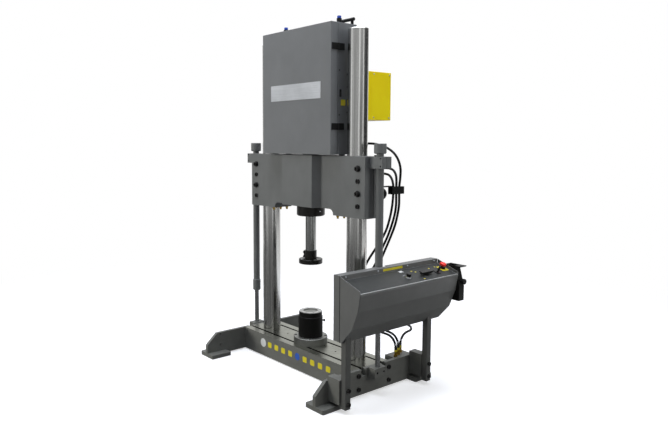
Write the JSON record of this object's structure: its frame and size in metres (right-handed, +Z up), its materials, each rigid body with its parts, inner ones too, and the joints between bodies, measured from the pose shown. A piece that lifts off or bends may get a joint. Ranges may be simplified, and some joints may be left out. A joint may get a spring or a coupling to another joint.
{
  "type": "axial and torsional materials testing machine",
  "caption": "Floor-standing two-column materials testing machine with a hydraulic crosshead, rotary and axial actuator, load cell, drive cabinet and side control console.",
  "frame": {"origin": "on the load axis, in the plane of the table's working face, midway between the table's two threaded holes", "axes": "+X along the table towards the console, +Y from the operator's front to the back, +Z up the columns"},
  "size_m": [1.266, 0.809, 1.858],
  "materials": {
    "table_iron": "machined and oiled on top, painted grey on its sides",
    "grey_paint": "satin grey paint with a fine texture",
    "black_steel": "black oxide",
    "chrome": "ground and hard chromed",
    "steel": "turned steel",
    "brass": "plain turned brass",
    "black_plastic": "moulded matt black",
    "red_plastic": "moulded gloss red",
    "yellow_paint": "semi-gloss yellow powder coat",
    "rubber": "smooth black hose cover"
  },
  "bodies": {
    "base": {"base_table": "table_iron", "left_side_plate": "grey_paint", "right_side_plate": "grey_paint", "foot_pads": "grey_paint", "side_plate_bolts": "black_steel", "left_column": "chrome", "right_column": "chrome", "left_lift_block": "grey_paint", "right_lift_block": "grey_paint", "left_lift_rod": "chrome", "right_lift_rod": "chrome", "cell_flange": "steel", "flange_bolts": "black_steel", "load_cell": "black_steel", "load_cell_ring": "steel", "front_post_block": "grey_paint", "rear_post_block": "grey_paint", "front_post": "grey_paint", "rear_post": "grey_paint", "post_bolts": "black_steel", "manifold": "black_steel", "hose_fittings": "brass", "console_channel": "grey_paint", "console_shell": "grey_paint", "stop_base": "black_plastic", "selector_base": "steel", "paddle_base": "black_steel", "valve_base": "black_steel", "handset_holder": "black_plastic"},
    "crosshead_body": {"crosshead": "grey_paint", "clamp_bolts": "black_steel", "left_bracket": "grey_paint", "right_bracket": "grey_paint", "left_lift_tube": "grey_paint", "right_lift_tube": "grey_paint", "lift_caps": "grey_paint", "plug_fittings": "brass", "end_ring": "black_steel", "actuator_body": "steel", "cabinet_shell": "grey_paint", "hinge_leaves": "black_steel", "hose_ports": "black_plastic", "top_handle": "black_steel", "drive_cover": "yellow_paint", "valve_manifold": "black_steel", "hose_clamp": "black_steel", "hose_a": "rubber", "hose_b": "rubber", "hose_c": "rubber"},
    "door": {"cabinet_door": "grey_paint", "door_leaves": "black_steel"},
    "rotor": {"drive_shaft": "steel"},
    "piston": {"piston_rod": "chrome", "rod_collar": "black_steel", "platen": "black_steel"},
    "stop": {"stop_button": "red_plastic"},
    "selector": {"selector_knob": "black_plastic"},
    "paddle": {"paddle_lever": "black_plastic"},
    "valve": {"valve_handle": "black_plastic"},
    "holder_clamp": {"holder_knob": "black_plastic"}
  },
  "joints": [
    {"name": "crosshead_lift", "type": "slide", "parent": "base", "child": "crosshead_body", "axis": [0, 0, 1], "range_m": [-0.18, 0.4], "deforming": ["hose_a", "hose_b", "hose_c"]},
    {"name": "front_door", "type": "hinge", "parent": "crosshead_body", "child": "door", "pos_m": [0.2855, -0.06675, 1.36], "axis": [0, 0, 1], "range_deg": [0, 105]},
    {"name": "rotor_turn", "type": "hinge", "parent": "crosshead_body", "child": "rotor", "pos_m": [0, 0, 1.4], "axis": [0, 0, 1], "range_deg": [-50, 50]},
    {"name": "piston_stroke", "type": "slide", "parent": "rotor", "child": "piston", "axis": [0, 0, 1], "range_m": [-0.075, 0.075]},
    {"name": "stop_press", "type": "slide", "parent": "base", "child": "stop", "axis": [-0.2887, 0, -0.9574], "range_m": [0, 0.005], "stiffness_N_per_m": 1200, "springref_m": -0.001},
    {"name": "selector_turn", "type": "hinge", "parent": "base", "child": "selector", "pos_m": [0.636, 0.066, 0.46068], "axis": [0.2887, 0, 0.9574], "range_deg": [-60, 60]},
    {"name": "paddle_tilt", "type": "hinge", "parent": "base", "child": "paddle", "pos_m": [0.64516, 0.273, 0.45896], "axis": [0, 1, 0], "range_deg": [-20, 20], "stiffness_Nm_per_rad": 0.6},
    {"name": "valve_turn", "type": "hinge", "parent": "base", "child": "valve", "pos_m": [0.638, 0.193, 0.46008], "axis": [0.2887, 0, 0.9574], "range_deg": [0, 90]},
    {"name": "holder_knob_turn", "type": "hinge", "parent": "base", "child": "holder_clamp", "pos_m": [0.698, 0.398, 0.407], "axis": [1, 0, 0], "range_deg": [-180, 180]}
  ]
}
